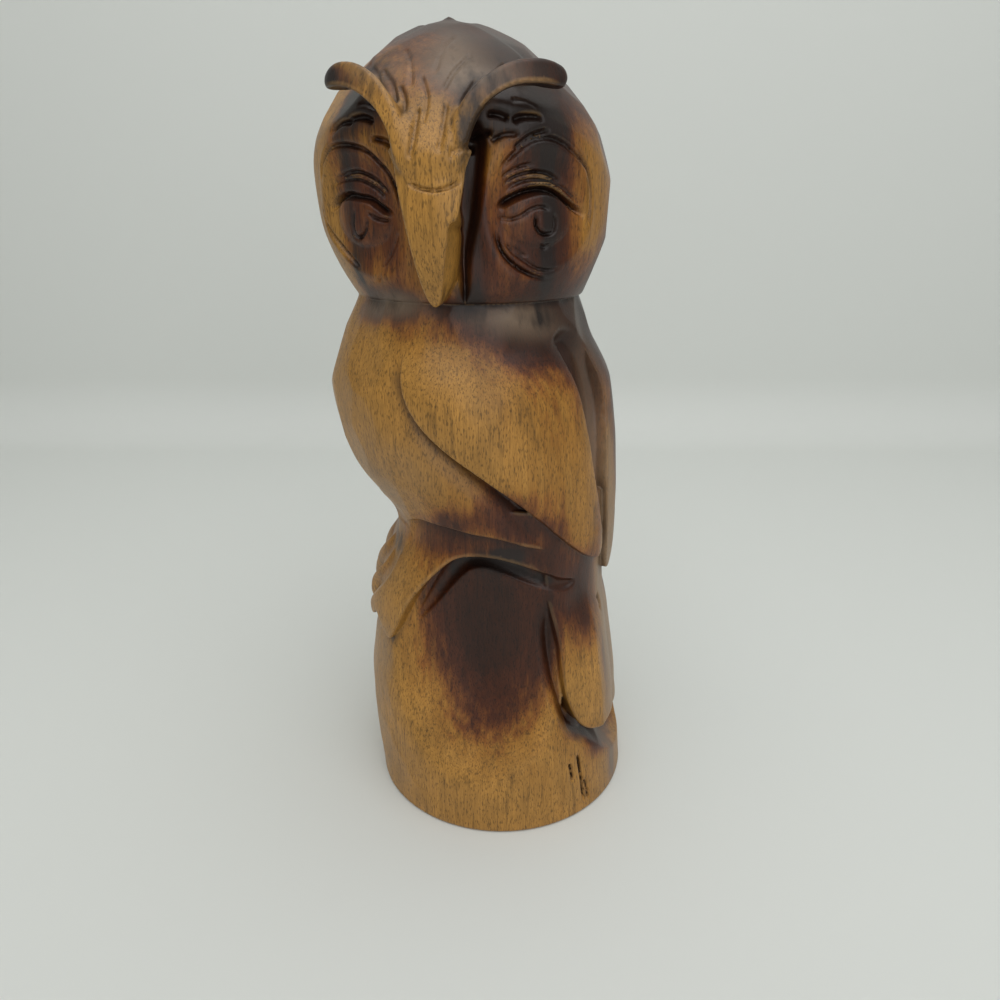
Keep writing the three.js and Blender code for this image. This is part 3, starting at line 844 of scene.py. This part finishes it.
# (which, bearing, height, half width, half height, amount), in degrees and millimetres
PATCHES = [
    (HEART_AND_SHADE, -44, 186, 11, 30, 15), (HEART_AND_SHADE, -23, 180, 7, 26, 7), (HEART_AND_SHADE, -62, 184, 5, 26, -7),
    (HEART_AND_SHADE, -32, 207, 10, 6, 8), (BLACK_AND_SHADE, -43, 184, 3.4, 22, 0.6), (BLACK_AND_SHADE, -32, 205, 9, 5, 0.85),
    (BLACK_AND_SHADE, -47, 166, 4, 8, 0.4), (BLACK_AND_SHADE, -36, 196, 5, 6, 0.4),
    (HEART_AND_SHADE, 42, 186, 7, 30, 6), (BLACK_AND_SHADE, 42, 202, 6, 8, 0.95), (BLACK_AND_SHADE, 42, 187, 2.8, 14, 0.85),
    (BLACK_AND_SHADE, 42.5, 168, 2.4, 12, 0.8), (BLACK_AND_SHADE, 27, 203, 9, 5, 0.8), (BLACK_AND_SHADE, 16, 198.5, 6, 4, 0.6),
    # Beside the beak and on the chest under its tip: dark wood with painted shade.
    (HEART_AND_SHADE, 12, 182, 3.5, 26, 7), (BLACK_AND_SHADE, 11.5, 182, 2.4, 22, 0.7), (BLACK_AND_SHADE, 7, 163, 5, 3.5, 0.7),
    (HEART_AND_SHADE, 24, 172, 6, 12, 1), (HEART_AND_SHADE, 66, 187, 11, 30, -8.5), (HEART_AND_SHADE, 90, 190, 12, 30, -5),
    (HEART_AND_SHADE, -36, 211, 5, 3, 9), (BLACK_AND_SHADE, -38, 211, 3.4, 3, 0.45), (HEART_AND_SHADE, 38, 212, 9, 3, 8),
    (HEART_AND_SHADE, 0, 193, 9, 8, -7), (HEART_AND_SHADE, 2, 210, 16, 7, 7), (HEART_AND_SHADE, 20, 209, 10, 6, 5),
    (PAINTED_SHEEN, 6, 215, 10, 7, 0.75), (PAINTED_SHEEN, 16, 209, 9, 4, 0.6), (BLACK_AND_SHADE, 18, 210, 8, 4, 0.35),
    (BLACK_AND_SHADE, -28, 214, 9, 5, 0.4), (PAINTED_SHEEN, -20, 212, 7, 4, 0.45), (BLACK_AND_SHADE, 40, 218, 9, 6, 0.35),
    # Along the neck line under the head: dark wood with painted shade, and a painted sheen on the shoulders.
    (HEART_AND_SHADE, -29, 160, 11, 3.5, 8), (PAINTED_SHEEN, -29, 160, 11, 3.5, 0.8), (BLACK_AND_SHADE, -31, 160, 9, 3, 0.35),
    (HEART_AND_SHADE, -50, 157, 9, 3.5, 6), (PAINTED_SHEEN, -50, 157, 9, 3, 0.5), (HEART_AND_SHADE, 4, 159, 7, 3, 9),
    (BLACK_AND_SHADE, 4, 159, 6, 2.5, 0.5), (HEART_AND_SHADE, 34, 155.5, 15, 4, 8), (PAINTED_SHEEN, 30, 157, 12, 3, 0.8),
    (BLACK_AND_SHADE, 41, 156, 7, 2.4, 0.55), (HEART_AND_SHADE, 70, 155, 8, 5, 6), (HEART_AND_SHADE, 50, 151, 14, 4, 7),
    (PAINTED_SHEEN, 40, 153, 12, 2.4, 0.3), (HEART_AND_SHADE, -10, 153, 14, 4, 2.5), (HEART_AND_SHADE, 30, 148, 10, 4, 3),
    (HEART_AND_SHADE, 53, 120, 5, 28, -4), (HEART_AND_SHADE, 59, 138, 4, 9, 3),
    (HEART_AND_SHADE, 6, 106, 13, 7, 6), (HEART_AND_SHADE, -10, 101.6, 9, 4, 6), (HEART_AND_SHADE, 26, 101, 10, 4.5, 6),
    (HEART_AND_SHADE, -22, 109, 6, 5, 3), (HEART_AND_SHADE, 24, 110, 8, 4, 4), (PAINTED_SHEEN, -22, 118, 10, 10, 0.25),
    (HEART_AND_SHADE, -4, 94, 14, 4, 4.4), (HEART_AND_SHADE, 30, 91, 12, 6, 4.6), (HEART_AND_SHADE, -22, 90, 7, 7, 2.4),
    (BLACK_AND_SHADE, 14, 93, 7, 1.6, 0.6), (BLACK_AND_SHADE, 17, 91, 5.5, 3.6, 0.9), (HEART_AND_SHADE, 17, 91, 6, 5, 3),
    # Along the slot under the feet: dark wood with painted shade.
    (BLACK_AND_SHADE, 2, 87, 6, 2.4, 0.9), (BLACK_AND_SHADE, 13, 86, 6, 2.2, 0.9), (BLACK_AND_SHADE, 24, 84.4, 6, 1.8, 0.9),
    (BLACK_AND_SHADE, 34, 82.4, 4, 1.4, 0.8), (BLACK_AND_SHADE, -9, 86, 5, 2.2, 0.7), (BLACK_AND_SHADE, -19, 81.6, 4, 2.4, 0.6),
    (BLACK_AND_SHADE, -27, 76, 3, 3, 0.5), (BLACK_AND_SHADE, -52, 89, 5, 4, 0.6),
    (HEART_AND_SHADE, 50, 80, 7, 9, 5), (HEART_AND_SHADE, 52, 66, 6, 10, 4), (HEART_AND_SHADE, 46, 42, 8, 11, -6),
    (HEART_AND_SHADE, 36, 62, 2, 26, 5), (HEART_AND_SHADE, 40, 36, 3, 7, 5), (HEART_AND_SHADE, 47, 30, 4, 3, 6),
    (PAINTED_SHEEN, 72, 106, 4, 40, 0.8), (HEART_AND_SHADE, 72, 106, 4, 40, -5), (PAINTED_SHEEN, 78, 52, 8, 36, 0.9),
    (HEART_AND_SHADE, 78, 52, 10, 36, -6), (HEART_AND_SHADE, 65, 47, 2.6, 16, 9), (PAINTED_SHEEN, 65, 47, 3, 16, 0.4),
    # In the notch under the tail: dark wood with painted shade.
    (HEART_AND_SHADE, 60, 22, 7, 5.5, 11), (HEART_AND_SHADE, 84, 21, 9, 7, 7), (HEART_AND_SHADE, 70, 8, 2.8, 9, 12),
    (PAINTED_SHEEN, 70, 8, 3.4, 9, 0.8), (PAINTED_SHEEN, -40, 110, 8, 12, 0.35), (PAINTED_SHEEN, -60, 47, 6, 10, 0.5),
    (HEART_AND_SHADE, 0, 62, 16, 18, 3), (HEART_AND_SHADE, 30, 66, 7, 16, 2.5), (HEART_AND_SHADE, -2, 34, 16, 6, 2),
]


def paint(piece):
    mesh = piece.data
    count = len(mesh.vertices)
    places, ways = np.empty(count * 3), np.empty(count * 3)
    mesh.vertices.foreach_get("co", places)
    mesh.vertices.foreach_get("normal", ways)
    places, ways = places.reshape(-1, 3) / MM, ways.reshape(-1, 3)
    w = Wood(places)
    from_pith = np.hypot(places[:, 0] - PITH[0], places[:, 1] - PITH[1])
    front = 1 - ease(np.abs(w.bearing), 100, 150)
    marks = {HEART_AND_SHADE: np.clip(HEART_RADIUS - from_pith, -14, 9), BLACK_AND_SHADE: np.zeros(count), PAINTED_SHEEN: np.zeros(count)}
    marks[HEART_AND_SHADE] = marks[HEART_AND_SHADE] - 3 * ease(w.z, 214, 222)
    for which, bearing, z, wide, tall, amount in PATCHES:
        along = wrapped(w.bearing - bearing) * 0.65 / wide
        near = np.exp(-(along**2) - ((w.z - z) / tall) ** 2)
        marks[which] = marks[which] + amount * near
    # Painted shade in hollows and cuts, and a painted highlight on edges, read from the distance just off and just
    # into the surface
    close, wide = 1.0, 3.5
    marks["crevice_dirt_and_shade"] = np.clip(0.9 - owl(places + close * ways) / close, 0, 1)
    marks["painted_occlusion_shade"] = np.clip(0.9 - owl(places + wide * ways) / wide, 0, 1)
    marks["painted_edge_highlight"] = np.clip(0.86 + owl(places - close * ways) / close, 0, 1)
    for name, values in marks.items():
        mesh.attributes.new(name, "FLOAT", "POINT").data.foreach_set("value", values.astype(np.float32))


paint(owl_carving)


# Wood

def srgb(code):
    """An sRGB hex colour as linear red, green, blue and alpha."""
    parts = [int(code[i:i + 2], 16) / 255 for i in (1, 3, 5)]
    return (*[p / 12.92 if p <= 0.04045 else ((p + 0.055) / 1.055) ** 2.4 for p in parts], 1)


def plain_material(name, colour, roughness):
    material = bpy.data.materials.new(name)
    material.use_nodes = True
    shader = material.node_tree.nodes["Principled BSDF"]
    shader.inputs["Base Color"].default_value = srgb(colour)
    shader.inputs["Roughness"].default_value = roughness
    return material, shader


wood_material, shader = plain_material("lacquered_two_tone_hardwood", "#A87D46", 0.42)
tree = wood_material.node_tree


def add(kind, inputs=(), output=0, **settings):
    """Adds a node, sets or links its inputs, and gives back one of its outputs."""
    node = tree.nodes.new("ShaderNode" + kind)
    for name, value in settings.items():
        setattr(node, name, value)
    for name, value in dict(inputs).items():
        if isinstance(value, bpy.types.NodeSocket):
            tree.links.new(value, node.inputs[name])
        else:
            node.inputs[name].default_value = value
    return node.outputs[output]


def ramp(value, stops):
    node = tree.nodes.new("ShaderNodeValToRGB")
    tree.links.new(value, node.inputs[0])
    points = node.color_ramp.elements
    while len(points) < len(stops):
        points.new(0.5)
    for point, (position, colour) in zip(points, stops):
        point.position, point.color = position, srgb(colour)
    return node.outputs[0]


def mixed(share, below, above, blend="MIX"):
    return add("Mix", {0: share, 6: below, 7: above}, 2, data_type="RGBA", blend_type=blend)


def mark(name, low=0.0, high=1.0, to_low=0.0, to_high=1.0):
    value = add("Attribute", output=2, attribute_name=name)
    return spread(value, low, high, to_low, to_high)


def spread(value, low, high, to_low=0.0, to_high=1.0):
    return add("MapRange", {0: value, 1: low, 2: high, 3: to_low, 4: to_high})


def speckle(stretch, size, detail=2.0, roughness=0.5):
    """Noise whose grains are size millimetres across and stretched along the log."""
    squeeze = add("VectorMath", {0: in_mm, 1: (1 / size, 1 / size, 1 / (size * stretch))}, operation="MULTIPLY")
    return add("TexNoise", {"Vector": squeeze, "Scale": 1.0, "Detail": detail, "Roughness": roughness})


def total(first, second, operation="ADD"):
    return add("Math", {0: first, 1: second}, operation=operation)


in_object = add("TexCoord", output=3)
in_mm = add("VectorMath", {0: in_object, 1: (1 / MM, 1 / MM, 1 / MM)}, operation="MULTIPLY")

# Sapwood through the purplish fringe to dark heartwood, broken into vertical bands
wander = spread(speckle(4, 8, 3), 0.3, 0.7, -1.5, 1.5)
stripes = spread(speckle(30, 1.5, 3, 0.6), 0.3, 0.7, -1.3, 1.3)
pith = add("VectorMath", {0: in_mm, 1: (-PITH[0], -PITH[1], 0)}, operation="ADD")
across_grain = add("VectorMath", {0: pith, 1: (1, 1, 0)}, operation="MULTIPLY")
ring_count = total(total(add("VectorMath", {0: across_grain}, 1, operation="LENGTH"), wander), 2.4, "MULTIPLY")
rings = total(add("Math", {0: ring_count}, operation="SINE"), 0.55, "MULTIPLY")
depth = total(total(mark(HEART_AND_SHADE, -30, 30, -30, 30), wander), total(stripes, rings))
heartwood = ramp(
    spread(depth, -8, 8),
    [(0.0, "#AC7C38"), (0.3, "#9F6E2C"), (0.44, "#8A5621"), (0.57, "#683814"), (0.7, "#4A220D"), (1.0, "#331607")],
)

# Clouding, fine fibres and short dark pores
clouds = spread(speckle(2.2, 9, 5, 0.65), 0.3, 0.7, 0.78, 1.16)
fibres = spread(speckle(14, 0.5, 3, 0.6), 0.3, 0.7, 0.8, 1.14)
lines = spread(speckle(40, 1.1, 2, 0.6), 0.56, 0.66, 1.0, 0.7)
pores = spread(speckle(4.5, 0.34, 1), 0.55, 0.66, 1.0, 0.52)
shade = total(total(clouds, fibres, "MULTIPLY"), total(lines, pores, "MULTIPLY"), "MULTIPLY")
colour = mixed(1.0, heartwood, add("CombineColor", {0: shade, 1: shade, 2: shade}), "MULTIPLY")

# Painted grey sheen, a painted reflection on flats facing the light, and black mineral streaks that in a few places
# also paint shade
colour = mixed(mark(PAINTED_SHEEN, 0, 1, 0, 0.8), colour, srgb("#8B7763"))
black = spread(total(mark(BLACK_AND_SHADE), spread(speckle(14, 2.4, 3), 0.3, 0.7, -0.25, 0.25)), 0.15, 0.75, 0, 0.92)
colour = mixed(black, colour, srgb("#1E1512"))

# Painted shade in the hollows, dark dirt with painted shade in the cuts, and a painted highlight along the edges
colour = mixed(mark("painted_occlusion_shade", 0.08, 0.7, 0, 0.55), colour, srgb("#2A160C"))
colour = mixed(mark("crevice_dirt_and_shade", 0.1, 0.7, 0, 0.8), colour, srgb("#170B06"))
colour = mixed(mark("painted_edge_highlight", 0.12, 0.6, 0, 0.4), colour, srgb("#C79A62"))
tree.links.new(colour, shader.inputs["Base Color"])

relief = total(pores, total(fibres, 0.35, "MULTIPLY"))
bump = add("Bump", {"Height": relief, "Strength": 0.35, "Distance": 0.12 * MM})
tree.links.new(bump, shader.inputs["Normal"])
shader.inputs["Specular IOR Level"].default_value = 0.32
shader.inputs["Coat Weight"].default_value = 0.12
shader.inputs["Coat Roughness"].default_value = 0.22
shader.inputs["IOR"].default_value = 1.5
owl_carving.data.materials.clear()
owl_carving.data.materials.append(wood_material)

# Table, light and camera


def paper_sweep():
    """A sheet of pale paper: flat under the owl, and curved up to a wall behind it."""
    reach, bend, top, half = 0.36, 0.05, 1.6, 1.6
    profile = [(-1.6, 0.0), (reach, 0.0)]
    for step in range(1, 9):
        angle = math.radians(90 * step / 8)
        profile.append((reach + bend * math.sin(angle), bend * (1 - math.cos(angle))))
    profile.append((reach + bend, top))
    rows = [[(side * half, y, z) for side in (-1, 1)] for y, z in profile]
    corners = [corner for row in rows for corner in row]
    faces = [(2 * i, 2 * i + 1, 2 * i + 3, 2 * i + 2) for i in range(len(profile) - 1)]
    mesh = bpy.data.meshes.new("pale_paper_sweep")
    mesh.from_pydata(corners, [], faces)
    mesh.shade_smooth()
    sheet = bpy.data.objects.new("pale_paper_sweep", mesh)
    bpy.context.scene.collection.objects.link(sheet)
    sheet.rotation_euler.z = math.radians(6)
    return sheet


table = paper_sweep()
table.data.materials.append(plain_material("pale_paper", "#DCDEDA", 0.8)[0])

VIEW_BEARING = 6  # the camera stands this far round from the face
VIEW_PITCH = 21
VIEW_PLACE = (23.05, -224.12, 182.3)
FOCAL_PIXELS = 751  # focal length, in pixels of a picture 1000 across
SENSOR = 36

camera = bpy.data.objects.new("camera", bpy.data.cameras.new("camera"))
bpy.context.scene.collection.objects.link(camera)
camera.location = Vector(VIEW_PLACE) * MM
camera.rotation_euler = (math.radians(90 - VIEW_PITCH), 0, math.radians(VIEW_BEARING))
camera.data.sensor_width = SENSOR
camera.data.lens = FOCAL_PIXELS / 1000 * SENSOR
camera.data.clip_start = 0.01
bpy.context.scene.camera = camera


def soft_light(name, place, target, size, power, colour="#FFFFFF"):
    data = bpy.data.lights.new(name, "AREA")
    data.size = size
    data.energy = power
    data.color = srgb(colour)[:3]
    lamp = bpy.data.objects.new(name, data)
    bpy.context.scene.collection.objects.link(lamp)
    lamp.location = place
    lamp.rotation_euler = (Vector(target) - Vector(place)).to_track_quat("-Z", "Y").to_euler()


soft_light("overhead_softbox", (0.1, -0.3, 1.0), (0, 0, 0.1), 1.1, 6.8)
soft_light("front_fill", (0.35, -1.0, 0.45), (0, 0, 0.1), 0.7, 2.2)
bpy.context.scene.view_settings.view_transform = "Standard"
world = bpy.data.worlds.new("room")
world.use_nodes = True
world.node_tree.nodes["Background"].inputs["Color"].default_value = srgb("#DDE1DE")
world.node_tree.nodes["Background"].inputs["Strength"].default_value = 0.4
bpy.context.scene.world = world
